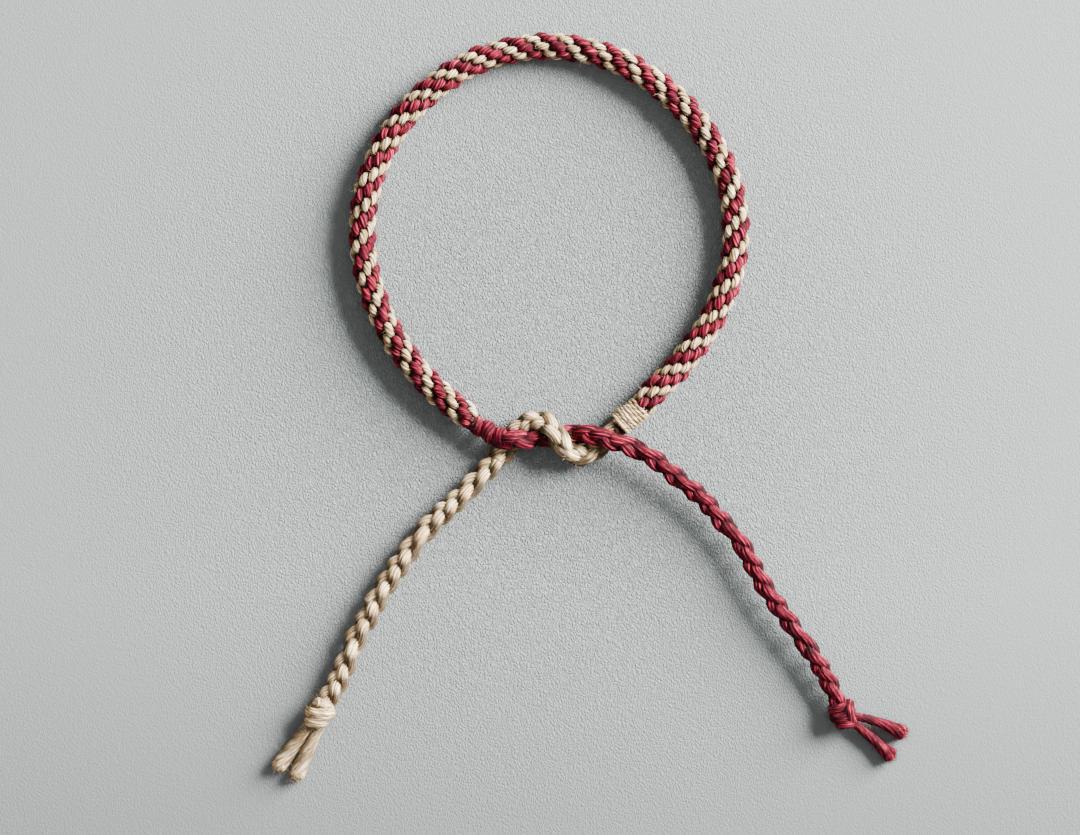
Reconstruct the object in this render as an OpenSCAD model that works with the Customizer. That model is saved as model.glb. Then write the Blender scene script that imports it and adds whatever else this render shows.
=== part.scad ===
/* [Wrist loop] */
// Mean radius of the loop, to the middle of the braid
loop_r = 30.2; // [30:0.1:30.4]
// How much longer than wide the loop lies
loop_oval = 0.66; // [0:0.01:0.8]
// Three-cornered bulge of the loop
loop_three = 0.47; // [0:0.01:0.6]
// Four-cornered bulge of the loop
loop_four = 0.32; // [0:0.01:0.5]
// Diameter of the round braid over its stitches
braid_d = 4.2; // [3.6:0.1:4.2]

/* [Whippings] */
// Diameter over the yarn wound round each end of the braid
wrap_d = 3.7; // [3:0.1:3.8]
// Turns of fine yarn in the beige whipping
beige_turns = 6; // [4:1:8]
// Depth of the groove between two fine turns
beige_groove = 0.14; // [0:0.01:0.2]
// Turns of bundled yarn in the red whipping
red_turns = 2; // [2:1:3]
// Depth of the groove between two bundled turns
red_groove = 0.3; // [0:0.01:0.35]

/* [Ties] */
// Diameter of a plaited tie where it lies free
tie_d = 2.7; // [2.4:0.1:2.8]
// Diameter of a tie where the half knot pulls it tight
tight_d = 2.4; // [2:0.1:2.4]

/* [End knots] */
// Thickness of the overhand knot on each tie
knot_d = 4.2; // [3.6:0.1:4.2]
// How far the knot narrows to its two ends, as a share of its half length
knot_taper = 0.75; // [0.6:0.01:0.85]
// Diameter of a cut end where it leaves the knot
end_root_d = 1.4; // [1:0.1:1.4]
// Diameter of a cut end at its fluffed-out tip
end_tip_d = 2.1; // [1.3:0.1:2.2]

/* [Hidden] */

beige = "#d8c3a0";
red = "#b02a45";

// The braid and its fittings have 12 sides, a tie has 8
body_sides = 12;
tie_sides = 8;

// Rings of the braid are 5 degrees apart, from its beige end round to its red end
loop_step = 5;
loop_from = -56;
loop_to = 236;
loop_at = [-0.1, 1.9];
braid_z = braid_d / 2 * cos(180 / body_sides);
beige_end_of_braid = [15.0, -24.9, braid_z];
red_end_of_braid = [[-14.9, -25.2, braid_z], [-13.6, -26.2, braid_z], [-12.5, -27.1, braid_z]];

// Each whipping starts a hair past the braid, and is a shallow bend through three points
wrap_z = wrap_d / 2 * cos(180 / body_sides);
beige_wrap_route = [[14.6, -25.3, wrap_z], [12.9, -26.6, wrap_z], [11.1, -28.0, wrap_z]];
red_wrap_route = [[-12.3, -27.2, wrap_z], [-10.5, -28.7, 2.0], [-8.8, -29.9, 2.5]];

// The two ties go round each other in a half knot: under, over, under
beige_crossing_route = [
    [10.7, -28.4, 1.7], [10.2, -29.2, 1.4], [9.4, -30.4, 1.2], [8.4, -31.6, 1.2],
    [7.2, -32.7, 1.4], [5.8, -33.4, 1.8], [4.3, -33.4, 2.4], [3.1, -32.5, 3.0],
    [2.2, -31.4, 3.6], [1.5, -30.1, 3.9], [0.8, -28.8, 3.7], [-0.2, -27.8, 3.2],
    [-1.4, -27.3, 2.6], [-2.7, -27.4, 2.1], [-3.9, -27.9, 1.6], [-4.9, -28.8, 1.3],
    [-5.6, -29.9, 1.2], [-6.3, -31.2, 1.2], [-7.2, -32.4, 1.2], [-8.2, -33.4, 1.3]];
red_crossing_route = [
    [-8.3, -30.2, 2.8], [-7.7, -30.3, 3.1], [-6.7, -30.4, 3.6], [-5.5, -30.4, 3.8],
    [-3.8, -30.3, 3.3], [-1.9, -30.1, 2.0], [-0.2, -29.9, 1.3], [1.6, -29.7, 1.2],
    [3.4, -29.5, 1.3], [5.0, -29.4, 2.0], [6.7, -29.6, 3.1], [8.3, -30.0, 3.8],
    [9.9, -30.5, 3.9], [11.6, -31.0, 3.7], [13.2, -31.5, 3.5]];

// From the half knot each tie runs out free to its own knot
beige_tail_route = [
    [-8.4, -33.6, 1.3], [-9.3, -34.5, 1.4], [-10.5, -35.8, 1.4], [-11.8, -37.1, 1.5],
    [-13.0, -38.4, 1.6], [-15.7, -41.0, 1.8], [-18.4, -43.5, 1.9], [-20.9, -46.3, 2.0],
    [-23.1, -49.2, 2.1], [-25.2, -52.3, 2.1], [-27.2, -55.4, 2.1], [-28.9, -58.7, 2.1],
    [-30.7, -61.9, 2.0], [-32.2, -65.4, 2.0], [-33.6, -68.8, 2.0], [-35.4, -72.0, 2.0]];
red_tail_route = [
    [13.4, -31.6, 3.5], [15.6, -32.7, 3.4], [17.9, -34.3, 3.2], [21.3, -37.1, 2.9],
    [24.7, -39.9, 2.7], [27.5, -43.2, 2.6], [30.4, -46.5, 2.6], [32.5, -50.2, 2.6],
    [34.6, -54.0, 2.6], [37.0, -57.5, 2.6], [39.6, -61.1, 2.5], [42.1, -64.6, 2.4],
    [43.3, -66.5, 2.3], [44.4, -68.4, 2.2], [45.4, -70.4, 2.1], [46.3, -72.4, 2.1]];

// A knot is a shallow bend through three points, centred at the height of its half thickness
knot_z = knot_d / 2 * cos(180 / body_sides);
beige_knot_route = [[-35.5, -72.2, knot_z], [-36.5, -74.3, knot_z], [-37.8, -76.2, knot_z]];
red_knot_route = [[46.4, -72.6, knot_z], [47.1, -74.3, knot_z], [48.3, -75.8, knot_z]];

// The cut ends fan out of the knots and come down onto the surface
beige_end_1_route = [[-38.5, -76.1, 1.5], [-40.5, -78.9, 1.2], [-43.7, -83.2, 1.0]];
beige_end_2_route = [[-37.1, -77.0, 1.5], [-38.8, -80.5, 1.2], [-40.6, -84.8, 1.0]];
red_end_1_route = [[49.5, -74.7, 1.6], [53.4, -75.8, 1.2], [57.3, -77.6, 1.0]];
red_end_2_route = [[48.6, -75.9, 1.6], [51.8, -78.9, 1.2], [55.2, -81.6, 1.0]];
end_rings = 5;
knot_rings = 9;

function unit(v) = v / norm(v);

// Distance of the loop's centre line from its middle, at an angle from +X
function loop_reach(a) = loop_r - loop_oval * cos(2 * a + 10)
    + loop_three * sin(3 * a + 20) + loop_four * cos(4 * a);

function loop_point(a) = [loop_at.x + loop_reach(a) * cos(a), loop_at.y + loop_reach(a) * sin(a), braid_z];

function loop_route() = concat([beige_end_of_braid],
    [for (a = [loop_from:loop_step:loop_to]) loop_point(a)], red_end_of_braid);

// Evenly spread points on the curve that starts at a, heads for b and ends at c
function bend(a, b, c, count) = [for (i = [0:count - 1]) let (t = i / (count - 1), mid = 2 * b - (a + c) / 2)
    (1 - t) * (1 - t) * a + 2 * t * (1 - t) * mid + t * t * c];

// Direction of the route at its point i
function heading(route, i) = unit(route[min(i + 1, len(route) - 1)] - route[max(i - 1, 0)]);

// Ring of points round the route at its point i, level with the surface
function ring(route, i, r, sides) = let (
        along = heading(route, i),
        across = unit(cross([0, 0, 1], along)),
        up = cross(along, across))
    [for (j = [0:sides - 1]) let (a = (j + 0.5) * 360 / sides)
        route[i] + r * (cos(a) * across + sin(a) * up)];

// Closed tube along a route, with a radius for each of its points
module swept(route, radii, sides) {
    last = len(route) - 1;
    points = [for (i = [0:last]) each ring(route, i, radii[i], sides)];
    walls = [for (i = [0:last - 1], j = [0:sides - 1]) let (k = (j + 1) % sides)
        [i * sides + j, (i + 1) * sides + j, (i + 1) * sides + k, i * sides + k]];
    start_cap = [for (j = [0:sides - 1]) j];
    end_cap = [for (j = [sides - 1:-1:0]) last * sides + j];
    polyhedron(points, concat(walls, [start_cap, end_cap]), convexity = 8);
}

// Yarn wound side by side: the radius drops into a groove between turns
module whipping(route, turns, groove) {
    count = 2 * turns + 1;
    radii = [for (i = [0:count - 1]) wrap_d / 2 - (i % 2 == 0 ? groove : 0)];
    swept(bend(route[0], route[1], route[2], count), radii, body_sides);
}

// Overhand knot, fat in the middle and narrowed to both ends
module knot(route) {
    reach = knot_taper * 2 / (knot_rings - 1);
    radii = [for (i = [0:knot_rings - 1]) let (u = i * reach - knot_taper) knot_d / 2 * sqrt(1 - u * u)];
    swept(bend(route[0], route[1], route[2], knot_rings), radii, body_sides);
}

// Cut end, widening to its fluffed tip
module cut_end(route) {
    radii = [for (i = [0:end_rings - 1]) (end_root_d + (end_tip_d - end_root_d) * i / (end_rings - 1)) / 2];
    swept(bend(route[0], route[1], route[2], end_rings), radii, tie_sides);
}

// Stretch of a tie inside the half knot, tight all along
module crossing(route) {
    radii = [for (i = [0:len(route) - 1]) tight_d / 2];
    swept(route, radii, tie_sides);
}

// Free stretch of a tie: it loosens over its first two points
module tail(route) {
    radii = [for (i = [0:len(route) - 1]) (tight_d + (tie_d - tight_d) * min(i / 2, 1)) / 2];
    swept(route, radii, tie_sides);
}

module braid_loop() {
    route = loop_route();
    color(red) swept(route, [for (p = route) braid_d / 2], body_sides);
}

module beige_wrap() {
    color(beige) whipping(beige_wrap_route, beige_turns, beige_groove);
}

module red_wrap() {
    color(red) whipping(red_wrap_route, red_turns, red_groove);
}

module beige_crossing() {
    color(beige) crossing(beige_crossing_route);
}

module red_crossing() {
    color(red) crossing(red_crossing_route);
}

module beige_tail() {
    color(beige) tail(beige_tail_route);
}

module red_tail() {
    color(red) tail(red_tail_route);
}

module beige_knot() {
    color(beige) knot(beige_knot_route);
}

module red_knot() {
    color(red) knot(red_knot_route);
}

module beige_end_1() {
    color(beige) cut_end(beige_end_1_route);
}

module beige_end_2() {
    color(beige) cut_end(beige_end_2_route);
}

module red_end_1() {
    color(red) cut_end(red_end_1_route);
}

module red_end_2() {
    color(red) cut_end(red_end_2_route);
}

braid_loop();
beige_wrap();
red_wrap();
beige_crossing();
red_crossing();
beige_tail();
red_tail();
beige_knot();
red_knot();
beige_end_1();
beige_end_2();
red_end_1();
red_end_2();
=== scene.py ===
"""Braided cotton bracelet in crimson and beige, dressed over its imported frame."""

import logging
import math
from dataclasses import dataclass, field
from enum import Enum

import bpy
import numpy as np
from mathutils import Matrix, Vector


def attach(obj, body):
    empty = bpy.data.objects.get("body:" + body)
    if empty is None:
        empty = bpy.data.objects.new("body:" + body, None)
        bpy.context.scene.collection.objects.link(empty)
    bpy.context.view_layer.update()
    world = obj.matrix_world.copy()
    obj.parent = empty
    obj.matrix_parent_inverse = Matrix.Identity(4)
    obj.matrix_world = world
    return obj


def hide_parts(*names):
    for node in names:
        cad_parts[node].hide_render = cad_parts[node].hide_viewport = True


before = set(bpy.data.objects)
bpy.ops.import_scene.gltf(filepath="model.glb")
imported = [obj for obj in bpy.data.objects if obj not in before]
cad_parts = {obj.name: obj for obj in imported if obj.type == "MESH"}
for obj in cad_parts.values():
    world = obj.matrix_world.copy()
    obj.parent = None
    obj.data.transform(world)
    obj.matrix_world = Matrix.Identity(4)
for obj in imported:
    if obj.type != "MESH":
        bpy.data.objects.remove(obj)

MM = 0.001
FULL_TURN = 2 * math.pi
BODY = "root"
# Cotton that would reach lower is pressed flat on the surface
LOWEST = 0.02 * MM
UP = np.array((0.0, 0.0, 1.0))
Array = np.ndarray
Point = tuple[float, float, float]
Pair = tuple[float, float]
Piece = bpy.types.Object
Material = bpy.types.Material
NodeTree = bpy.types.NodeTree

log = logging.getLogger("bracelet")


class Colour(Enum):
    """The two cotton yarns of the bracelet, by the record's material slot."""

    RED = "red_cotton"
    BEIGE = "beige_cotton"

    @property
    def word(self) -> str:
        """The colour as it stands in the names of pieces."""
        return self.name.lower()


# Geometry helpers


def unit(vectors: Array) -> Array:
    """Scale each vector to length one."""
    return vectors / np.linalg.norm(vectors, axis=-1, keepdims=True)


def blend_in(value: Array, low: float, high: float) -> Array:
    """Rise smoothly from 0 to 1 as value goes from low to high.

    Args:
        value: Numbers to map.
        low: Where the rise starts.
        high: Where it ends.

    Returns:
        One share from 0 to 1 for each number.
    """
    share = np.clip((value - low) / (high - low), 0.0, 1.0)
    return share * share * (3.0 - 2.0 * share)


def smooth_through(points: Array, per_span: int) -> Array:
    """Draw a smooth curve through points.

    Args:
        points: Rows of coordinates, in order.
        per_span: Samples from one point to the next.

    Returns:
        The samples, with both end points.
    """
    padded = np.vstack([2 * points[0] - points[1], points, 2 * points[-1] - points[-2]])
    share = np.arange(per_span)[:, None] / per_span
    spans = []
    for index in range(len(points) - 1):
        before, start, end, after = padded[index:index + 4]
        spans.append(start + 0.5 * share * (end - before + share * (
            2 * before - 5 * start + 4 * end - after + share * (3 * (start - end) + after - before))))
    return np.vstack(spans + [points[-1:]])


def distances(points: Array) -> Array:
    """Give the distance along a line at each of its points."""
    return np.concatenate([[0.0], np.cumsum(np.linalg.norm(np.diff(points, axis=0), axis=1))])


def carried_frames(points: Array) -> tuple[Array, Array]:
    """Carry a pair of cross directions along a line without spin.

    Args:
        points: The line's points.

    Returns:
        Two directions at each point, square to the line and to each other.
    """
    along = unit(np.gradient(points, axis=0))
    # A line that sets out steeply takes its first direction from +X
    guide = UP if abs(along[0, 2]) < 0.9 else np.array((1.0, 0.0, 0.0))
    first = np.empty_like(points)
    first[0] = unit(np.cross(guide, along[0]))
    for i in range(1, len(points)):
        level = first[i - 1] - along[i] * first[i - 1].dot(along[i])
        first[i] = level / np.linalg.norm(level)
    return first, np.cross(along, first)


class CordPath:
    """A smooth line through chosen points, with a level frame all along it."""

    def __init__(self, points: Array, step: float = 0.25 * MM) -> None:
        """Sample the line evenly.

        Args:
            points: Points that the line goes through, in metres.
            step: Distance between samples.
        """
        dense = smooth_through(points, per_span=16)
        run = distances(dense)
        count = int(round(run[-1] / step))
        self.at = np.linspace(0.0, run[-1], count + 1)
        self.points = np.column_stack([np.interp(self.at, run, dense[:, k]) for k in range(3)])
        self.along = unit(np.gradient(self.points, self.at, axis=0))
        self.across = unit(np.cross(UP, self.along))
        self.up = np.cross(self.along, self.across)

    @property
    def length(self) -> float:
        """Length of the whole line."""
        return float(self.at[-1])

    def nearest(self, point: Array) -> float:
        """Give the distance along the line at which it passes closest to a point."""
        return float(self.at[np.argmin(np.linalg.norm(self.points - point, axis=1))])

    def sample(self, values: Array, at: Array) -> Array:
        """Read values that are kept per sample, at any distance along the line."""
        return np.column_stack([np.interp(at, self.at, values[:, k]) for k in range(3)])

    def middle(self, at: Array) -> Array:
        """Give the line's own point at each distance; past either end it goes on straight."""
        beyond = (at - np.clip(at, 0.0, self.length))[:, None]
        return self.sample(self.points, at) + beyond * self.sample(self.along, at)

    def place(self, at: Array, left: Array, rise: Array) -> Array:
        """Place points beside the line.

        Args:
            at: Distances along it.
            left: Offsets to the left of travel.
            rise: Offsets upwards.

        Returns:
            One point for each distance.
        """
        sideways = left[:, None] * self.sample(self.across, at)
        return self.middle(at) + sideways + rise[:, None] * self.sample(self.up, at)


def new_object(name: str, data: bpy.types.ID) -> Piece:
    """Make an object and link it to the scene.

    Args:
        name: The object's name.
        data: Its mesh, light or camera.

    Returns:
        The new object.
    """
    made = bpy.data.objects.new(name, data)
    bpy.context.scene.collection.objects.link(made)
    return made


@dataclass
class YarnMesh:
    """Vertices and faces gathered from many yarns, with what the cotton finish reads."""

    points: list[Array] = field(default_factory=list)
    faces: list[list[int]] = field(default_factory=list)
    fibre: list[Array] = field(default_factory=list)
    # Painted shade at each point, which the finish reads as the groove attribute
    groove: list[Array] = field(default_factory=list)
    count: int = 0

    def add(self, rings: Array, fibre: Array, groove: Array) -> None:
        """Add one tube.

        Args:
            rings: Its rings of points, as (rings, sides, 3).
            fibre: Coordinates in the yarn's own untwisted space, of the same shape.
            groove: Painted shade at each point, from 0 to 1, as (rings, sides): dark in the grooves between
                plies, near the core and where the yarn dips under others.
        """
        total, sides = rings.shape[:2]
        ids = self.count + np.arange(total * sides).reshape(total, sides)
        turned = np.roll(ids, -1, axis=1)
        quads = np.stack([ids[:-1], turned[:-1], turned[1:], ids[1:]], axis=-1)
        self.faces += quads.reshape(-1, 4).tolist()
        self.faces += [ids[0, ::-1].tolist(), ids[-1].tolist()]
        self.points.append(rings.reshape(-1, 3))
        self.fibre.append(fibre.reshape(-1, 3))
        self.groove.append(groove.reshape(-1))
        self.count += total * sides

    def build(self, name: str, material: Material) -> Piece:
        """Make the Blender object.

        Args:
            name: The object's name.
            material: Its finish.

        Returns:
            The new object, linked to the scene and riding on the body.
        """
        mesh = bpy.data.meshes.new(name)
        mesh.from_pydata(np.concatenate(self.points).tolist(), [], self.faces)
        mesh.polygons.foreach_set("use_smooth", np.ones(len(mesh.polygons), bool))
        fibre = mesh.attributes.new("fibre", "FLOAT_VECTOR", "POINT")
        fibre.data.foreach_set("vector", np.concatenate(self.fibre).astype(np.float32).ravel())
        # The painted shade goes to the finish as the groove attribute
        groove = mesh.attributes.new("groove", "FLOAT", "POINT")
        groove.data.foreach_set("value", np.concatenate(self.groove).astype(np.float32))
        mesh.materials.append(material)
        mesh.update()
        piece = new_object(name, mesh)
        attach(piece, BODY)
        return piece


@dataclass(frozen=True)
class Yarn:
    """A cotton yarn, twisted from plies that show as ridges along it."""

    radius: float
    plies: int = 7
    groove: float = 0.18
    twist: float = 7.0 * MM
    per_ply: int = 4
    width: float = 1.0
    # Painted shade at the bottom of each groove between plies
    ply_shade: float = 0.9
    unevenness: float = 0.03
    # The higher, the narrower the grooves between the plies
    sharpness: float = 1.3
    # Some grooves close up along the yarn and open again, so the plies don't look combed
    closing: float = 0.24
    closing_length: float = 1.4 * MM
    # Two waves of thicker and thinner places, as spinning leaves them
    slub_lengths: Pair = (0.37 * MM, 0.83 * MM)

    def lay(self, mesh: YarnMesh, points: Array, scale: Array, pattern: float, core: Array | None = None,
            painted_shade_span: Pair = (0.0, 1.0), painted_shade: Array | None = None) -> None:
        """Lay the yarn along a line.

        Args:
            mesh: Where its tube goes.
            points: The line's points, in metres.
            scale: The yarn's thickness at each point, as a share of its own.
            pattern: A number of the yarn's own, so that no two yarns have the same threads and slubs.
            core: Middle of the cord that the yarn is part of, beside each point. A yarn that is wider
                than thick is pressed flat against it.
            painted_shade_span: Distances from the core over which the painted shade near it fades out.
            painted_shade: Least painted shade at each point, from 0 to 1.
        """
        sides = self.plies * self.per_ply
        run = distances(points)
        if core is None or self.width == 1.0:
            first, second = carried_frames(points)
        else:
            along = unit(np.gradient(points, axis=0))
            outward = points - core
            second = unit(outward - along * np.sum(outward * along, axis=1, keepdims=True))
            first = np.cross(second, along)
        turn = (FULL_TURN * run / self.twist)[:, None]
        around = FULL_TURN * np.arange(sides)[None, :] / sides
        # Each wave starts at another multiple of the yarn's own number
        closed = np.sin(3 * around + run[:, None] / self.closing_length + 7 * pattern)
        valley = (((1 + np.cos(self.plies * around)) / 2) ** self.sharpness
                  * (1 - self.closing + self.closing * closed))
        fine, coarse = self.slub_lengths
        slubs = np.sin(run / fine + 9 * pattern) + np.sin(run / coarse + 5 * pattern)
        reach = self.radius * (scale * (1 + self.unevenness * slubs))[:, None] * (1 - self.groove * valley)
        angle = around + turn
        rings = (points[:, None, :]
                 + (reach * self.width * np.cos(angle))[..., None] * first[:, None, :]
                 + (reach * np.sin(angle))[..., None] * second[:, None, :])
        rings[..., 2] = np.maximum(rings[..., 2], LOWEST)
        fibre = np.stack([self.radius * np.cos(around) + 0 * turn, self.radius * np.sin(around) + 0 * turn,
                          pattern + run[:, None] + 0 * around], axis=-1)
        # Painted shade: dark in the grooves between plies, near the core and where more is asked for
        shade = self.ply_shade * valley
        if core is not None:
            depth = 1 - blend_in(np.linalg.norm(rings - core[:, None, :], axis=-1), *painted_shade_span)
            shade = np.maximum(shade, depth)
        if painted_shade is not None:
            shade = np.maximum(shade, painted_shade[:, None])
        mesh.add(rings, fibre, shade)


# Finishes

# Blender's vector math and mix nodes tell their sockets apart by number only
FIRST, SECOND, THIRD = 0, 1, 2
MIX_SHARE, MIX_FROM, MIX_TO, MIXED = 0, 6, 7, 2


def linear(hex_colour: str) -> tuple[float, float, float, float]:
    """Turn an sRGB hex colour to linear.

    Args:
        hex_colour: The colour, such as "#b02a45".

    Returns:
        Red, green and blue, with full cover.
    """
    parts = [int(hex_colour[i:i + 2], 16) / 255 for i in (1, 3, 5)]
    red, green, blue = (p / 12.92 if p <= 0.04045 else ((p + 0.055) / 1.055) ** 2.4 for p in parts)
    return red, green, blue, 1.0


def add_node(tree: NodeTree, kind: str, settings: dict[str | int, object] | None = None,
             links: dict[str | int, bpy.types.NodeSocket] | None = None) -> bpy.types.Node:
    """Add one node with its settings and links.

    Args:
        tree: The node tree.
        kind: Blender's name of the node type after ShaderNode.
        settings: Values by property name, or by input socket where no property has that name.
        links: Output sockets by the input that each goes into.

    Returns:
        The new node.
    """
    node = tree.nodes.new(f"ShaderNode{kind}")
    for name, value in (settings or {}).items():
        if isinstance(name, str) and hasattr(node, name):
            setattr(node, name, value)
        else:
            node.inputs[name].default_value = value
    for name, output in (links or {}).items():
        tree.links.new(output, node.inputs[name])
    return node


def new_material(name: str) -> tuple[Material, NodeTree]:
    """Make a material without nodes.

    Args:
        name: The material's name.

    Returns:
        The material and its empty node tree.
    """
    material = bpy.data.materials.new(name)
    material.use_nodes = True
    material.node_tree.nodes.clear()
    return material, material.node_tree


@dataclass(frozen=True)
class CottonYarnFinish:
    """Dyed cotton yarn, spun and plied: matt, with fibres that catch the light along each ply."""

    name: str
    shade: str
    body: str
    lit: str
    # Colour that the painted shade darkens the yarn towards
    painted_shade_colour: str
    sheen: float
    # Thread noise from which a thread stands out fully lit
    lit_from: float
    # Cotton fibres are 0.02 mm thick; here they clump to threads that still show at this distance
    thread: float
    thread_length: float = 2.0 * MM
    # The dye takes a little unevenly, in patches about a centimetre long
    patch: float = 9 * MM
    roughness: float = 0.85
    bump: float = 0.06 * MM

    def build(self) -> Material:
        """Make the material.

        Returns:
            The material with all its nodes.
        """
        material, tree = new_material(self.name)
        fibre = add_node(tree, "Attribute", {"attribute_name": "fibre"})
        drawn_out = add_node(tree, "VectorMath", {
            "operation": "MULTIPLY", SECOND: (1 / self.thread, 1 / self.thread, 1 / self.thread_length)},
            {FIRST: fibre.outputs["Vector"]})
        threads = add_node(tree, "TexNoise", {"Scale": 1.0, "Detail": 3.0, "Roughness": 0.65},
                           {"Vector": drawn_out.outputs["Vector"]})
        tones = add_node(tree, "ValToRGB", {}, {"Fac": threads.outputs["Fac"]})
        # Painted highlight and shade: the thread noise gives each thread a shaded, plain or lit colour
        stops = ((0.36, self.shade), (0.5, self.body), (self.lit_from, self.lit))
        tones.color_ramp.elements.new(0.5)
        for element, (place, colour) in zip(tones.color_ramp.elements, stops):
            element.position = place
            element.color = linear(colour)
        spot = add_node(tree, "TexCoord").outputs["Object"]
        patches = add_node(tree, "TexNoise", {"Scale": 1 / self.patch, "Detail": 1.0}, {"Vector": spot})
        unevenness = add_node(tree, "MapRange", {
            "From Min": 0.3, "From Max": 0.7, "To Min": 0.86, "To Max": 1.1},
            {"Value": patches.outputs["Fac"]})
        dyed = add_node(tree, "HueSaturation", {}, {
            "Value": unevenness.outputs["Result"], "Color": tones.outputs["Color"]})
        # Painted shade: the colour is mixed towards the dark shade colour as the groove attribute asks
        groove = add_node(tree, "Attribute", {"attribute_name": "groove"})
        with_painted_shade = add_node(tree, "Mix", {"data_type": "RGBA", MIX_TO: linear(self.painted_shade_colour)},
                            {MIX_SHARE: groove.outputs["Fac"], MIX_FROM: dyed.outputs["Color"]})
        relief = add_node(tree, "Bump", {"Strength": 0.8, "Distance": self.bump},
                          {"Height": threads.outputs["Fac"]})
        cotton = add_node(tree, "BsdfPrincipled", {
            "Roughness": self.roughness, "Sheen Weight": self.sheen, "Sheen Roughness": 0.5,
            "Sheen Tint": linear(self.lit), "Specular IOR Level": 0.1},
            {"Base Color": with_painted_shade.outputs[MIXED], "Normal": relief.outputs["Normal"]})
        add_node(tree, "OutputMaterial", {}, {"Surface": cotton.outputs["BSDF"]})
        return material


@dataclass(frozen=True)
class TableTopFinish:
    """Grey grained leatherette: matt, with fine creases that break up the light."""

    name: str = "grey_grained_leatherette"
    colour: str = "#6b7070"
    grain: float = 0.5 * MM
    depth: float = 0.17 * MM
    # The grain is pressed deepest under the bracelet and wears flat away from it
    middle: Point = (0.0, -20 * MM, 0.0)
    deep_to: float = 28 * MM
    worn_from: float = 84 * MM
    worn: float = 0.22
    # Painted shade: a little darker towards the near edge, where less of the window light gets to
    lit_to: float = -54 * MM
    dim_from: float = -93 * MM
    dim: float = 0.74

    def build(self) -> Material:
        """Make the material.

        Returns:
            The material with all its nodes.
        """
        material, tree = new_material(self.name)
        spot = add_node(tree, "TexCoord").outputs["Object"]
        drift = add_node(tree, "TexNoise", {"Scale": 0.35 / self.grain, "Detail": 3.0}, {"Vector": spot})
        strayed = add_node(tree, "VectorMath", {
            "operation": "MULTIPLY_ADD", SECOND: (2.5 * self.grain,) * 3},
            {FIRST: drift.outputs["Color"], THIRD: spot})
        # The creases run closer together across the picture than up it
        squeezed = add_node(tree, "VectorMath", {"operation": "MULTIPLY", SECOND: (1.3, 0.75, 1.0)},
                            {FIRST: strayed.outputs["Vector"]})
        creases = add_node(tree, "TexVoronoi", {"feature": "DISTANCE_TO_EDGE", "Scale": 1 / self.grain},
                           {"Vector": squeezed.outputs["Vector"]})
        pebbles = add_node(tree, "MapRange", {"From Max": 0.25}, {"Value": creases.outputs["Distance"]})
        away = add_node(tree, "VectorMath", {"operation": "DISTANCE", SECOND: self.middle}, {FIRST: spot})
        pressed = add_node(tree, "MapRange", {
            "From Min": self.deep_to, "From Max": self.worn_from, "To Min": 1.0, "To Max": self.worn},
            {"Value": away.outputs["Value"]})
        relief = add_node(tree, "Bump", {"Distance": self.depth}, {
            "Strength": pressed.outputs["Result"], "Height": pebbles.outputs["Result"]})
        axes = add_node(tree, "SeparateXYZ", {}, {"Vector": spot})
        # Painted shade: the colour darkens towards the near edge
        painted_falloff = add_node(tree, "MapRange", {
            "From Min": self.lit_to, "From Max": self.dim_from, "To Min": 1.0, "To Max": self.dim},
            {"Value": axes.outputs["Y"]})
        tone = add_node(tree, "HueSaturation", {"Color": linear(self.colour)},
                        {"Value": painted_falloff.outputs["Result"]})
        board = add_node(tree, "BsdfPrincipled", {"Roughness": 0.7, "Specular IOR Level": 0.3},
                         {"Base Color": tone.outputs["Color"], "Normal": relief.outputs["Normal"]})
        add_node(tree, "OutputMaterial", {}, {"Surface": board.outputs["BSDF"]})
        return material


# Mercerised cotton is swollen in lye, so it takes a deep dye and its lit threads shine a little
RED_COTTON = CottonYarnFinish("crimson_mercerised_cotton", shade="#2a030f", body="#460412", lit="#ba2e4a",
                              painted_shade_colour="#0a0103", sheen=0.04, lit_from=0.67, thread=0.25 * MM)
# Plain spun cotton keeps a dry, chalky surface, pale where its threads catch the light
BEIGE_COTTON = CottonYarnFinish("beige_matt_cotton", shade="#6c5333", body="#b09168", lit="#ffe8c0",
                                painted_shade_colour="#21140d", sheen=0.06, lit_from=0.61, thread=0.23 * MM)


# The studio


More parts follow.
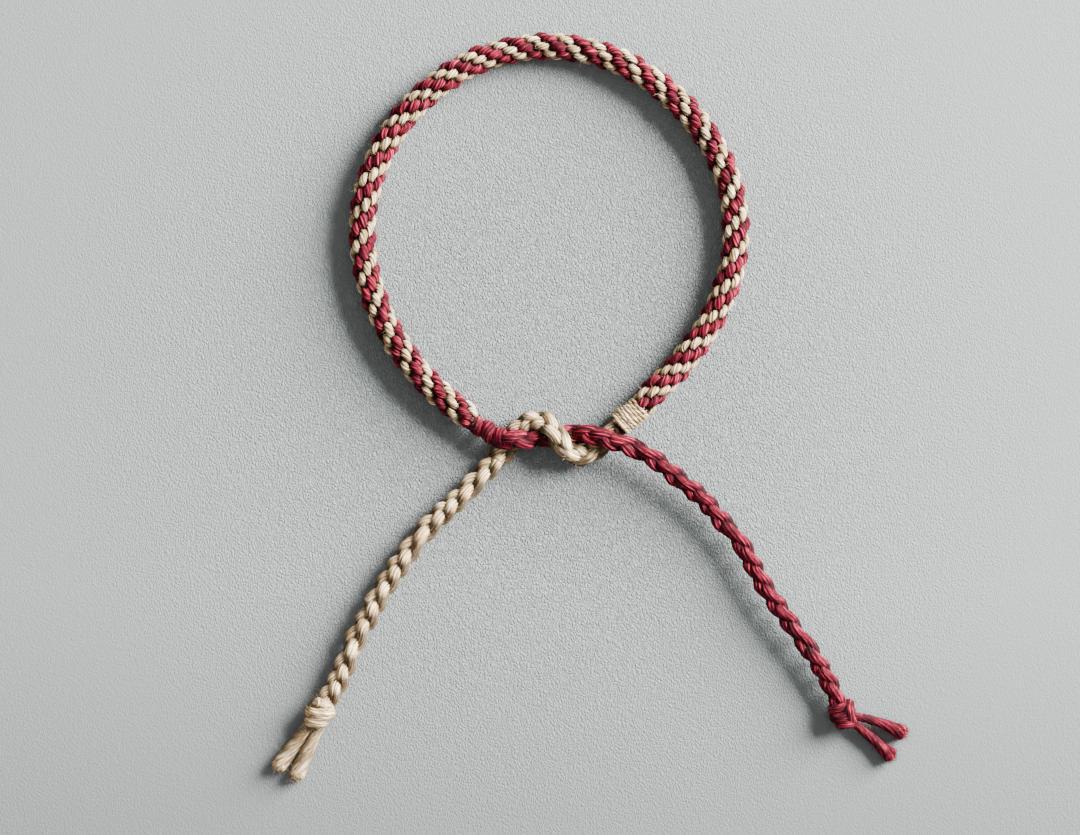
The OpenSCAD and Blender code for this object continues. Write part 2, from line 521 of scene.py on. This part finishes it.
@dataclass
class Studio:
    """Table top, window light, room glow and the camera, which looks straight down."""

    view_width: float = 172.8 * MM
    view_centre: Pair = (-1.4 * MM, -26.8 * MM)
    camera_height: float = 0.7
    # The view is this wide at the height of the braid's middle
    braid_height: float = 2 * MM
    floor_size: float = 3.0
    window_place: Point = (0.83, 0.44, 0.43)
    window_size: float = 0.6
    window_watts: float = 165.0
    window_colour: str = "#fdfcfa"
    room_colour: str = "#f1f0ee"
    room_glow: float = 0.81

    def place_camera(self) -> None:
        """Set the camera over the middle of the picture."""
        data = bpy.data.cameras.new("camera")
        data.lens = data.sensor_width * (self.camera_height - self.braid_height) / self.view_width
        camera = new_object("camera", data)
        camera.location = (*self.view_centre, self.camera_height)
        bpy.context.scene.camera = camera

    def lay_floor(self) -> None:
        """Lay the plain pale surface under the bracelet."""
        half = self.floor_size / 2
        mesh = bpy.data.meshes.new("floor")
        mesh.from_pydata([(-half, -half, 0), (half, -half, 0), (half, half, 0), (-half, half, 0)], [],
                         [(0, 1, 2, 3)])
        mesh.materials.append(TableTopFinish().build())
        floor = new_object("floor", mesh)

    def light(self) -> None:
        """Light from the upper right, with a weak even glow all round."""
        data = bpy.data.lights.new("window", "AREA")
        data.size = self.window_size
        data.energy = self.window_watts
        data.color = linear(self.window_colour)[:3]
        lamp = new_object("window", data)
        lamp.location = self.window_place
        aim = Vector((*self.view_centre, 0.0)) - Vector(self.window_place)
        lamp.rotation_euler = aim.to_track_quat("-Z", "Y").to_euler()
        world = bpy.data.worlds.new("room")
        world.use_nodes = True
        glow = world.node_tree.nodes["Background"]
        glow.inputs["Color"].default_value = linear(self.room_colour)
        glow.inputs["Strength"].default_value = self.room_glow
        bpy.context.scene.world = world

    def build(self) -> None:
        """Set up the floor and the lights."""
        self.lay_floor()
        self.light()


# Sub-assemblies

# The part's own points, in metres, but the beige bump below the red tie lies up to 0.6 mm closer to it
BEIGE_CROSSING = np.array([
    (10.7, -28.4, 1.7), (10.2, -29.2, 1.4), (9.4, -30.3, 1.2), (8.3, -31.3, 1.2),
    (7.1, -32.2, 1.4), (5.8, -32.8, 1.8), (4.4, -32.8, 2.4), (3.2, -32.1, 3.0),
    (2.2, -31.4, 3.6), (1.5, -30.1, 3.9), (0.8, -28.8, 3.7), (-0.2, -27.8, 3.2),
    (-1.4, -27.3, 2.6), (-2.7, -27.4, 2.1), (-3.9, -27.9, 1.6), (-4.9, -28.8, 1.3),
    (-5.6, -29.9, 1.2), (-6.3, -31.2, 1.2), (-7.2, -32.4, 1.2), (-8.2, -33.4, 1.3)]) * MM
RED_CROSSING = np.array([
    (-8.3, -30.2, 2.8), (-7.7, -30.3, 3.1), (-6.7, -30.4, 3.6), (-5.5, -30.4, 3.8),
    (-3.8, -30.3, 3.3), (-1.9, -30.1, 2.0), (-0.2, -29.9, 1.3), (1.6, -29.7, 1.2),
    (3.4, -29.5, 1.3), (5.0, -29.4, 2.0), (6.7, -29.6, 3.1), (8.3, -30.0, 3.8),
    (9.9, -30.5, 3.9), (11.6, -31.0, 3.7), (13.2, -31.5, 3.5)]) * MM
BEIGE_TAIL = np.array([
    (-8.4, -33.6, 1.3), (-9.3, -34.5, 1.4), (-10.5, -35.8, 1.4), (-11.8, -37.1, 1.5),
    (-13.0, -38.4, 1.6), (-15.7, -41.0, 1.8), (-18.4, -43.5, 1.9), (-20.9, -46.3, 2.0),
    (-23.1, -49.2, 2.1), (-25.2, -52.3, 2.1), (-27.2, -55.4, 2.1), (-28.9, -58.7, 2.1),
    (-30.7, -61.9, 2.0), (-32.2, -65.4, 2.0), (-33.6, -68.8, 2.0), (-35.4, -72.0, 2.0)]) * MM
RED_TAIL = np.array([
    (13.4, -31.6, 3.5), (15.6, -32.7, 3.4), (17.9, -34.3, 3.2), (21.3, -37.1, 2.9),
    (24.7, -39.9, 2.7), (27.5, -43.2, 2.6), (30.4, -46.5, 2.6), (32.5, -50.2, 2.6),
    (34.6, -54.0, 2.6), (37.0, -57.5, 2.6), (39.6, -61.1, 2.5), (42.1, -64.6, 2.4),
    (43.3, -66.5, 2.3), (44.4, -68.4, 2.2), (45.4, -70.4, 2.1), (46.3, -72.4, 2.1)]) * MM


@dataclass
class PlaitedTie:
    """Three yarns plaited flat, turned a little on its side as it lies."""

    colour: Colour
    crossing: Array
    tail: Array
    yarn: Yarn
    # How far each yarn swings to the side and up from the middle of the plait
    sway: float
    lift: float
    # How far its painted shade runs ahead of its rise and fall, in radians
    lead: float
    # Size where the half knot holds it, as a share of the free plait's
    tight: float
    repeat: float
    shift: float
    # Painted shade where a yarn dips under the next, fading out over this span of its rise
    painted_shade: float = 0.9
    dipping: Pair = (-0.4, 0.7)
    # The yarn is painted into shade nearer the middle than these distances, fading out between them, in its
    # own radii
    painted_shade_radii: Pair = (0.7, 1.65)
    diameter: float = 2.7 * MM
    crossing_roll: float = 15.0
    tail_roll: float = 40.0
    # Where it rolls over and how far on it loosens, from the end of the half knot
    rolling: Pair = (-4 * MM, 8 * MM)
    loosening: float = 6 * MM
    # How far it runs on into the whipping and the overhand knot, pinched together
    inset: float = 1.6 * MM
    pinch: float = 0.55
    pinched: Pair = (1.2 * MM, 1.0 * MM)
    overlap: float = 0.2 * MM
    step: float = 0.3 * MM
    pattern: float = 3.0
    path: CordPath = field(init=False)
    parting: float = field(init=False)

    def __post_init__(self) -> None:
        """Join the held and the free stretch to one line."""
        self.path = CordPath(np.vstack([self.crossing, self.tail[1:]]))
        self.parting = self.path.nearest(self.tail[0])

    def lay(self, mesh: YarnMesh, start: float, end: float) -> None:
        """Lay the three yarns over a stretch of the tie.

        Args:
            mesh: Where they go.
            start: Distance at which the stretch starts.
            end: Distance at which it ends.
        """
        at = np.arange(start, end + 0.01 * MM, self.step)
        loose = self.tight + (1 - self.tight) * blend_in(at, self.parting, self.parting + self.loosening)
        opened = blend_in(at, -self.inset, self.pinched[0])
        closed = blend_in(at, self.path.length - self.pinched[1], self.path.length + self.inset)
        gathered = self.pinch + (1 - self.pinch) * opened * (1 - closed)
        rolled = blend_in(at, self.parting + self.rolling[0], self.parting + self.rolling[1])
        roll = np.radians(self.crossing_roll + (self.tail_roll - self.crossing_roll) * rolled)
        # No hand plaits evenly
        wander = 0.25 * np.sin(at / (2.9 * MM)) + 0.2 * np.sin(at / (1.7 * MM) + 2)
        near, far = (radii * self.yarn.radius for radii in self.painted_shade_radii)
        for index in range(3):
            phase = FULL_TURN * ((at - self.shift) / self.repeat + index / 3) + wander
            left = self.sway * loose * gathered * np.sin(phase)
            rise = self.lift * loose * gathered * np.sin(2 * phase)
            points = self.path.place(at, left * np.cos(roll) - rise * np.sin(roll),
                                     left * np.sin(roll) + rise * np.cos(roll))
            # Painted shade: the yarn is darkened where it dips under the next one
            painted_shade = self.painted_shade * (1 - blend_in(np.sin(2 * phase + self.lead), *self.dipping))
            self.yarn.lay(mesh, points, loose * (0.75 + 0.25 * gathered), self.pattern + 0.4 * index,
                          self.path.middle(at), (near, far), painted_shade)

    def build(self, material: Material, knot_parts: list[Piece]) -> list[Piece]:
        """Make the held stretch and the free one.

        Args:
            material: The yarn's finish.
            knot_parts: The knot and the cut ends on the free stretch. Not used.

        Returns:
            Both pieces.
        """
        pieces = []
        for name, solid, start, end in (
                ("held_plait", "crossing", -self.inset, self.parting + self.overlap),
                ("free_plait", "tail", self.parting, self.path.length + self.inset)):
            mesh = YarnMesh()
            self.lay(mesh, start, end)
            piece = mesh.build(f"{self.colour.word}_{name}", material)
            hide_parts(f"{self.colour.word}_{solid}")
            pieces.append(piece)
        return pieces


@dataclass(frozen=True)
class Turn:
    """One turn of yarn in a knot, in the knot's own frame.

    Its middle lies along and across from the knot's, and from there it reaches wide and high, all in
    millimetres. It leans to the side and tips back, in degrees.
    """

    along: float
    across: float
    lean: float
    tip: float
    wide: float
    high: float
    yarn: Yarn
    # Painted shade over the whole turn
    painted_shade: float = 0.0


@dataclass
class OverhandKnot:
    """The tie knotted on itself: bands of yarn round it, and one that comes over."""

    colour: Colour
    entry: Array
    exit: Array
    turns: tuple[Turn, ...]
    thickness: float = 4.1 * MM
    # Each turn starts underneath and laps a little over its own start
    lap: float = 0.02 * math.pi
    samples: int = 56
    # Share of a turn's size up to which its inner side is painted into shade
    inner: float = 0.6
    filling: Yarn = Yarn(1.15 * MM, plies=5, ply_shade=1.0)
    pattern: float = 5.0

    def lay_turn(self, mesh: YarnMesh, turn: Turn, pattern: float) -> None:
        """Lay one turn of yarn.

        Args:
            mesh: Where it goes.
            turn: The turn.
            pattern: The yarn's own number.
        """
        along = unit(self.exit - self.entry)
        across = np.array((-along[1], along[0], 0.0))
        centre = (self.entry + self.exit) / 2 + (along * turn.along + across * turn.across) * MM
        centre[2] = self.thickness / 2
        lean = math.radians(turn.lean)
        normal = along * math.cos(lean) + across * math.sin(lean)
        side = np.array((-normal[1], normal[0], 0.0))
        tip = math.radians(turn.tip)
        upright = UP * math.cos(tip) + normal * math.sin(tip)
        angle = np.linspace(-0.5 * math.pi, 1.5 * math.pi + self.lap, self.samples)[:, None]
        wide = turn.wide * MM - turn.yarn.radius
        high = turn.high * MM - turn.yarn.radius
        points = centre + side * wide * np.cos(angle) + upright * high * np.sin(angle)
        core = centre + np.zeros_like(points)
        # Painted shade on the turn's inner side, fading out towards its rim
        painted_shade_span = (self.inner * min(wide, high), min(wide, high))
        turn.yarn.lay(mesh, points, np.ones(self.samples), pattern, core, painted_shade_span,
                      np.full(self.samples, turn.painted_shade))

    def build(self, material: Material) -> Piece:
        """Make the knot.

        Args:
            material: The yarn's finish.

        Returns:
            The knot as one piece.
        """
        mesh = YarnMesh()
        for index, turn in enumerate(self.turns):
            self.lay_turn(mesh, turn, self.pattern + 0.3 * index)
        core = np.linspace(self.entry, self.exit, num=12)
        self.filling.lay(mesh, core, np.ones(len(core)), self.pattern + 3.0)
        piece = mesh.build(f"{self.colour.word}_overhand_knot", material)
        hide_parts(f"{self.colour.word}_knot")
        return piece


@dataclass
class CutEnd:
    """One cut yarn past the knot, opening into a soft brush at its tip."""

    colour: Colour
    number: int
    route: Array
    # Radii at the knot, half way out and at the tip, and the shares of the length where they hold
    root: float
    middle: float
    tip: float = 1.2 * MM
    stations: tuple[float, float, float, float] = (0.0, 0.55, 0.9, 1.0)
    # Share of the first span by which the yarn starts inside the knot
    inset: float = 0.3
    yarn: Yarn = Yarn(1.0 * MM, plies=9, groove=0.12, twist=17.0 * MM, ply_shade=0.7)
    # The solid yarn closes over this length, down to a blunt point inside the brush
    rounding: float = 1.0 * MM
    blunt: float = 0.02
    strands: int = 150
    strand: Yarn = Yarn(0.06 * MM, plies=4, groove=0.0, per_ply=1, ply_shade=0.0)
    strand_taper: Pair = (1.0, 0.6)
    brush: float = 1.4 * MM
    # Strands are cut unevenly, and the outer ones shorter
    ragged: float = 0.18 * MM
    outer_cut: float = 0.5 * MM
    splay: tuple[float, ...] = (0.9, 0.98, 1.01, 1.02, 1.0, 0.95)
    # Painted shade over the packed body of the end, fading out towards the tip
    painted_shade: float = 0.58
    painted_shade_fades: Pair = (0.65, 0.97)
    pattern: float = 10.0
    seed: int = 40

    def build(self, material: Material) -> Piece:
        """Make the end.

        Args:
            material: The yarn's finish.

        Returns:
            The end as one piece.
        """
        mesh = YarnMesh()
        start = (1 + self.inset) * self.route[0] - self.inset * self.route[1]
        path = CordPath(np.vstack([start, self.route]))
        share = path.at / path.length
        radius = np.interp(share, self.stations, (self.root, self.middle, self.tip, self.tip))
        into_tip = ((share - 1) * path.length / self.rounding + 1).clip(0.0)
        closed = np.sqrt(np.clip(1 - into_tip ** 2, self.blunt, 1.0))
        painted_shade = self.painted_shade * (1 - blend_in(share, *self.painted_shade_fades))
        thickness = radius / self.yarn.radius * closed
        self.yarn.lay(mesh, path.points, thickness, self.pattern + self.number, painted_shade=painted_shade)
        random = np.random.default_rng(self.seed + self.number)
        for index in range(self.strands):
            turn = random.uniform(0, FULL_TURN)
            out = math.sqrt(random.uniform(0.05, 1.0))
            tip = path.length + random.uniform(-self.ragged, self.ragged) - self.outer_cut * out ** 3
            at = np.linspace(path.length - self.brush, tip, len(self.splay))
            splay = self.tip * out * np.array(self.splay)
            points = path.place(at, splay * math.cos(turn), splay * math.sin(turn))
            points[:, 2] = np.maximum(points[:, 2], self.strand.radius)
            thickness = np.linspace(*self.strand_taper, len(at))
            self.strand.lay(mesh, points, thickness, self.pattern + 2 + 0.1 * index)
        piece = mesh.build(f"{self.colour.word}_cut_end_{self.number}", material)
        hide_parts(f"{self.colour.word}_end_{self.number}")
        return piece


@dataclass
class Tie:
    """A plaited tie with the overhand knot and the cut ends that it runs out into."""

    colour: Colour
    plait: PlaitedTie
    knot: OverhandKnot
    ends: tuple[CutEnd, ...]

    def build(self, material: Material) -> list[Piece]:
        """Make the ends and the knot, then the plait."""
        *ends, knot = (part.build(material) for part in (*self.ends, self.knot))
        return [knot, *ends, *self.plait.build(material, [knot, *ends])]


# The plait spreads out into bands where it is knotted
WIDE_BAND = Yarn(0.55 * MM, plies=17, groove=0.16, twist=40 * MM, per_ply=3, width=2.1)
SLIM_BAND = Yarn(0.52 * MM, plies=13, groove=0.18, twist=30 * MM, per_ply=3, width=1.5)
SMALL_LOOP = Yarn(0.3 * MM, plies=4, twist=4 * MM)


def red_tie() -> Tie:
    """Give the red tie its sizes.

    Returns:
        A thin plait, a knot of three bands under a fourth, and thin ends.
    """
    colour = Colour.RED
    yarn = Yarn(0.88 * MM, plies=8, groove=0.2, twist=20 * MM, ply_shade=1.0)
    plait = PlaitedTie(colour, RED_CROSSING, RED_TAIL, yarn, sway=0.66 * MM, lift=0.52 * MM, lead=-0.8,
                       tight=1.05, repeat=11.5 * MM, shift=1.05 * MM)
    # The three bands under the fourth are darkened with painted shade
    knot = OverhandKnot(colour, np.array((46.4, -72.6, 2.0)) * MM, np.array((48.3, -75.8, 2.0)) * MM, (
        Turn(-1.35, -0.25, -12.0, 8.0, 1.85, 1.75, SLIM_BAND, 0.5),
        Turn(0.0, -0.5, -16.0, 8.0, 2.1, 1.9, SLIM_BAND, 0.55),
        Turn(1.3, -0.55, -20.0, 8.0, 1.85, 1.75, SLIM_BAND, 0.5),
        Turn(0.25, 0.9, 72.0, -10.0, 2.2, 2.05, SLIM_BAND)))
    routes = (((49.5, -74.7, 1.6), (53.4, -75.8, 1.2), (57.3, -77.6, 1.0)),
              ((48.9, -75.8, 1.6), (52.0, -78.4, 1.2), (55.3, -81.4, 1.0)))
    ends = (CutEnd(colour, number, np.array(route) * MM, root=0.56 * MM, middle=0.84 * MM)
            for number, route in enumerate(routes, 1))
    return Tie(colour, plait, knot, tuple(ends))


def beige_tie() -> Tie:
    """Give the beige tie its sizes.

    Returns:
        A fuller plait, a knot with a wide band in the middle, and thick ends.
    """
    colour = Colour.BEIGE
    yarn = Yarn(0.97 * MM, plies=11, groove=0.15, twist=26 * MM, per_ply=3, ply_shade=0.6)
    plait = PlaitedTie(colour, BEIGE_CROSSING, BEIGE_TAIL, yarn, sway=0.8 * MM, lift=0.62 * MM, lead=0.9,
                       tight=0.98, repeat=10.5 * MM, shift=1.5 * MM)
    knot = OverhandKnot(colour, np.array((-35.5, -72.2, 2.0)) * MM, np.array((-37.8, -76.2, 2.0)) * MM, (
        Turn(-0.2, 0.0, 30.0, 14.0, 2.4, 2.05, WIDE_BAND),
        Turn(1.25, 0.1, 26.0, 12.0, 1.9, 1.8, SLIM_BAND),
        Turn(-1.45, -0.2, 12.0, -14.0, 1.8, 1.7, SLIM_BAND),
        Turn(-1.5, -1.0, -60.0, 0.0, 0.9, 1.8, SMALL_LOOP)))
    routes = (((-38.5, -76.1, 1.5), (-40.5, -78.9, 1.2), (-43.7, -83.2, 1.0)),
              ((-37.1, -77.0, 1.5), (-38.8, -80.5, 1.2), (-40.6, -84.8, 1.0)))
    ends = (CutEnd(colour, number, np.array(route) * MM, root=0.85 * MM, middle=1.22 * MM, painted_shade=0.72)
            for number, route in enumerate(routes, 1))
    return Tie(colour, plait, knot, tuple(ends))


@dataclass
class LoopLine:
    """Centre line of the bracelet's core, from the beige tie round to the red one."""

    radius: float = 30.2 * MM
    oval: float = 0.66 * MM
    oval_turn: float = math.radians(10)
    three: float = 0.47 * MM
    three_turn: float = math.radians(20)
    four: float = 0.32 * MM
    centre: Pair = (-0.1 * MM, 1.9 * MM)
    height: float = 2.1 * MM
    # Degrees from +X
    first_angle: int = -56
    last_angle: int = 236
    angle_step: int = 5
    # Points before and after the round part, in millimetres as in the part
    beige_lead: tuple[Point, ...] = ((11.1, -28.0, 1.8), (12.9, -26.6, 1.85), (15.0, -24.9, 2.05))
    red_lead: tuple[Point, ...] = ((-14.9, -25.2, 2.05), (-13.6, -26.2, 2.05), (-12.5, -27.1, 2.05),
                                   (-10.5, -28.7, 2.1), (-8.8, -29.9, 2.5))
    braid_ends: tuple[Point, Point] = ((15.0, -24.9, 2.05), (-12.5, -27.1, 2.05))

    def path(self) -> CordPath:
        """Work out the whole line.

        Returns:
            The line, from the beige tie's whipping to the red one's.
        """
        turn = np.radians(np.arange(self.first_angle, self.last_angle + 1, self.angle_step))
        reach = (self.radius - self.oval * np.cos(2 * turn + self.oval_turn)
                 + self.three * np.sin(3 * turn + self.three_turn) + self.four * np.cos(4 * turn))
        arc = np.column_stack([self.centre[0] + reach * np.cos(turn), self.centre[1] + reach * np.sin(turn),
                               np.full(len(turn), self.height)])
        return CordPath(np.vstack([np.array(self.beige_lead) * MM, arc, np.array(self.red_lead) * MM]))


@dataclass
class SpiralBraid:
    """Eight yarns braided round: two rows of red and two of beige wind along the cord as stripes."""

    path: CordPath
    braid_from: float
    braid_to: float
    yarn: Yarn = Yarn(0.58 * MM, plies=6, groove=0.22, twist=-4.3 * MM, width=1.14)
    diameter: float = 4.4 * MM
    # Painted shade near the middle of the cord, fading out between these distances from it
    painted_shade_span: Pair = (1.45 * MM, 2.15 * MM)
    # Painted shade where a yarn dives between its neighbours, fading out between these reaches
    diving: Pair = (1.2 * MM, 1.56 * MM)
    painted_shade: float = 0.9
    # The red yarn is a little fatter than the beige, and both are thinner where they are sunk
    fullness: Pair = (1.07, 0.9)
    thinnest: float = 0.76
    swell: float = 0.3
    pitch: float = 10.32 * MM
    columns: int = 8
    # A stitch is highest in the middle, lower at its shoulders, and slopes down beyond
    stitch: float = 1.24 * MM
    shoulder: float = 0.9
    slope: float = 0.6
    slope_length: float = 0.55
    slope_turn: float = 0.16
    # Lean of a stitch to the cord, in degrees
    lean: float = -9.0
    sunk: float = 0.45 * MM
    phase: float = math.radians(-84)
    # How far the yarns run on under the whippings, and how narrow they are drawn there
    overrun: float = 1.4 * MM
    drawn_over: float = 0.5 * MM
    drawn: float = 0.5
    # Unevenness of each stitch along the cord, round it and in height
    stray: float = 0.08 * MM
    stray_turn: float = math.radians(2.5)
    stray_height: float = 0.03
    pattern: float = 20.0
    seed: int = 60

    def strand_points(self, row: int, order: int) -> Array:
        """Work out the line of one yarn.

        Each row of stitches is shared by two yarns, which take every other stitch. Between its
        stitches a yarn sinks under its neighbour and comes up two columns further round.

        Args:
            row: Which of the four rows, each a quarter turn further round.
            order: Which of the two yarns of the row.

        Returns:
            Rows of distance along the loop, angle from outwards to up, and distance from the middle.
        """
        advance = self.pitch / self.columns
        outer = self.diameter / 2 - self.yarn.radius
        half = self.stitch / 2
        down = half + self.slope_length * (advance - half)
        column = FULL_TURN / self.columns
        aside = self.slope_turn * column
        swing = half * math.tan(math.radians(self.lean)) / outer
        random = np.random.default_rng(self.seed + 2 * row + order)
        rows = []
        first = int((self.braid_from - self.overrun) / (2 * advance)) - 1
        last = int((self.braid_to + self.overrun) / (2 * advance)) + 1
        for number in range(first, last + 1):
            step = 2 * number + order
            at = step * advance + random.normal(0.0, self.stray)
            turn = self.phase + math.pi / 2 * row - column * step + random.normal(0.0, self.stray_turn)
            peak = outer * (1 + random.normal(0.0, self.stray_height))
            rows += [(at - down, turn + aside, self.slope * peak),
                     (at - half, turn - swing, self.shoulder * peak),
                     (at, turn, peak),
                     (at + half, turn + swing, self.shoulder * peak),
                     (at + down, turn - aside, self.slope * peak),
                     (at + advance, turn - column, self.sunk)]
        return np.array(rows)

    def lay_strand(self, mesh: YarnMesh, row: int, order: int, fullness: float) -> None:
        """Lay one yarn of the braid.

        Args:
            mesh: Where it goes.
            row: Which of the four rows.
            order: Which of the two yarns of the row.
            fullness: Thickness of the yarn as a share of the usual.
        """
        line = smooth_through(self.strand_points(row, order), per_span=2)
        start, end = self.braid_from - self.overrun, self.braid_to + self.overrun
        at, turn, reach = line[(line[:, 0] > start) & (line[:, 0] < end)].T
        inside = (blend_in(at, start, self.braid_from + self.drawn_over)
                  * (1 - blend_in(at, self.braid_to - self.drawn_over, end)))
        reach = reach * (self.drawn + (1 - self.drawn) * inside)
        # The path's left is inwards, because the loop runs anticlockwise seen from above
        points = self.path.place(at, -reach * np.cos(turn), reach * np.sin(turn))
        risen = blend_in(reach, self.sunk, self.diameter / 2 - self.yarn.radius)
        # Painted shade: the yarn is darkened where it dives between its neighbours
        painted_shade = self.painted_shade * (1 - blend_in(reach, *self.diving))
        self.yarn.lay(mesh, points, fullness * (self.thinnest + self.swell * risen),
                      self.pattern + row + 0.5 * order, self.path.middle(at), self.painted_shade_span, painted_shade)

    def build(self, materials: dict[Colour, Material]) -> dict[Colour, Piece]:
        """Make the red and the beige yarns.

        Args:
            materials: Finish of each colour.

        Returns:
            One piece for each colour.
        """
        pieces = {}
        for offset, colour in enumerate((Colour.RED, Colour.BEIGE)):
            mesh = YarnMesh()
            for row in (offset, offset + 2):
                for order in (0, 1):
                    self.lay_strand(mesh, row, order, self.fullness[offset])
            piece = mesh.build(f"{colour.word}_braid_yarns", materials[colour])
            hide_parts("braid_loop")
            pieces[colour] = piece
        return pieces


@dataclass
class Whipping:
    """Yarn wound tightly round one end of the braid."""

    colour: Colour
    path: CordPath
    start: float
    end: float
    turns: float
    yarn: Yarn
    diameter: float = 3.7 * MM
    end_diameter: float = 3.7 * MM
    core: float = 1.25 * MM
    # Shares by which it swells in the middle and is tucked in, and of its length that is tucked
    swell: float = 0.06
    tuck: float = 0.35
    tucked: float = 0.07
    # Painted shade over the whole whipping
    painted_shade: float = 0.0
    # Depths below the surface, in radii of its yarn, over which a turn is painted into shade as it goes
    # behind the next
    painted_shade_depths: Pair = (0.9, 0.1)
    first_angle: float = 0.6
    samples: int = 26
    # Unevenness outwards, as a share, and along, with this many changes a turn
    stray: float = 0.05
    slip: float = 0.12 * MM
    changes: int = 3
    pattern: float = 30.0
    seed: int = 5

    def build(self, material: Material) -> Piece:
        """Make the whipping.

        Args:
            material: The yarn's finish.

        Returns:
            The whipping as one piece.
        """
        mesh = YarnMesh()
        count = int(self.turns * self.samples) + 1
        share = np.linspace(0.0, 1.0, count)
        at = self.start + (self.end - self.start) * share
        angle = FULL_TURN * self.turns * share + self.first_angle
        random = np.random.default_rng(self.seed)
        knots = np.linspace(0.0, 1.0, int(self.turns * self.changes) + 2)
        stray = np.interp(share, knots, random.normal(0.0, self.stray, len(knots)))
        slip = np.interp(share, knots, random.normal(0.0, self.slip, len(knots)))
        rim = (self.diameter + (self.end_diameter - self.diameter) * share) / 2
        reach = (rim - self.yarn.radius) * (1 + stray + self.swell * np.sin(math.pi * share))
        tuck = (1 - self.tuck * (1 - blend_in(share, 0.0, self.tucked))
                - self.tuck * blend_in(share, 1 - self.tucked, 1.0))
        points = self.path.place(at + slip, reach * tuck * np.cos(angle), reach * tuck * np.sin(angle))
        smallest = min(self.diameter, self.end_diameter) / 2
        deep, shallow = (smallest - radii * self.yarn.radius for radii in self.painted_shade_depths)
        self.yarn.lay(mesh, points, np.ones(count), self.pattern, self.path.middle(at), (deep, shallow),
                      np.full(count, self.painted_shade))
        core = self.path.middle(np.linspace(self.start, self.end, num=14))
        Yarn(self.core, plies=5, ply_shade=1.0).lay(mesh, core, np.ones(len(core)), self.pattern + 1)
        piece = mesh.build(f"{self.colour.word}_whipping", material)
        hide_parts(f"{self.colour.word}_wrap")
        return piece


def beige_whipping(path: CordPath, braid_from: float) -> Whipping:
    """Give the beige whipping its sizes.

    Args:
        path: The loop's line.
        braid_from: Distance along it at which the braid starts.

    Returns:
        Nine turns of thin yarn right before the braid.
    """
    yarn = Yarn(0.34 * MM, plies=3, groove=0.12, twist=-3.4 * MM, per_ply=5, unevenness=0.05)
    return Whipping(Colour.BEIGE, path, -0.2 * MM, braid_from, 9.0, yarn, diameter=4.1 * MM,
                    end_diameter=4.0 * MM, core=1.5 * MM, painted_shade=0.2)


def red_whipping() -> Whipping:
    """Give the red whipping its sizes.

    Returns:
        Three turns of thick yarn, over the end of the braid and on over the start of the tie.
    """
    route = CordPath(np.array([(-13.4, -26.4, 2.1), (-12.2, -27.3, 2.1), (-10.6, -28.4, 2.2),
                               (-8.9, -29.5, 2.6), (-7.5, -30.0, 3.1), (-6.0, -30.1, 3.5),
                               (-4.4, -30.1, 3.5)]) * MM)
    yarn = Yarn(0.74 * MM, plies=10, groove=0.2, twist=30 * MM, width=1.5)
    return Whipping(Colour.RED, route, 1.9 * MM, route.length - 0.9 * MM, 3.0, yarn,
                    end_diameter=3.1 * MM, core=1.1 * MM, swell=0.0, stray=0.03)


@dataclass
class Fuzz:
    """Loose fibres that stand out from the cotton."""

    colour: Colour
    seed: int
    count: int = 13500
    # Cotton fibres are thinner than a pixel, so these are drawn just thick enough to show
    fibre: Yarn = Yarn(0.02 * MM, plies=3, groove=0.0, per_ply=1)
    taper: Pair = (1.0, 0.4)
    shortest: float = 0.2 * MM
    longest: float = 1.0 * MM
    lean: float = 0.7
    curl: float = 0.9
    segments: int = 2
    patterns: Pair = (40, 50)

    def build(self, pieces: list[Piece], material: Material) -> Piece:
        """Grow the fibres.

        Args:
            pieces: Pieces whose surface they stand on.
            material: Their finish.

        Returns:
            One piece with all the fibres.
        """
        random = np.random.default_rng(self.seed)
        points = np.vstack([np.array([v.co for v in p.data.vertices]) for p in pieces])
        normals = np.vstack([np.array([v.normal for v in p.data.vertices]) for p in pieces])
        chosen = random.choice(len(points), self.count, replace=False)
        share = np.linspace(0.0, 1.0, self.segments + 1)[:, None]
        thickness = np.linspace(*self.taper, self.segments + 1)
        mesh = YarnMesh()
        for root, outward in zip(points[chosen], normals[chosen]):
            heading = unit(outward + random.normal(0, self.lean, 3))
            bend = random.normal(0, self.curl, 3)
            length = random.uniform(self.shortest, self.longest)
            line = root + length * (heading * share + bend * share ** 2 * 0.5)
            line[:, 2] = np.maximum(line[:, 2], LOWEST)
            self.fibre.lay(mesh, line, thickness, random.uniform(*self.patterns))
        piece = mesh.build(f"{self.colour.word}_loose_fibres", material)
        return piece


def main() -> None:
    """Build the bracelet piece by piece."""
    logging.basicConfig(level=logging.INFO, format="%(name)s: %(message)s")
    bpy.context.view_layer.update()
    studio = Studio()
    studio.place_camera()
    cotton = {Colour.RED: RED_COTTON.build(), Colour.BEIGE: BEIGE_COTTON.build()}
    grown: dict[Colour, list[Piece]] = {colour: [] for colour in Colour}

    for tie in (red_tie(), beige_tie()):
        grown[tie.colour] += tie.build(cotton[tie.colour])
    loop = LoopLine()
    path = loop.path()
    braid_from, braid_to = (path.nearest(np.array(end) * MM) for end in loop.braid_ends)
    for colour, piece in SpiralBraid(path, braid_from, braid_to).build(cotton).items():
        grown[colour].append(piece)
    for whipping in (beige_whipping(path, braid_from), red_whipping()):
        grown[whipping.colour].append(whipping.build(cotton[whipping.colour]))
    for fuzz in (Fuzz(Colour.RED, seed=11), Fuzz(Colour.BEIGE, seed=12)):
        grown[fuzz.colour].append(fuzz.build(grown[fuzz.colour], cotton[fuzz.colour]))
    for pieces in grown.values():
        for piece in pieces:
            log.info("%s: %d faces", piece.name, len(piece.data.polygons))

    studio.build()


if __name__ == "__main__":
    main()
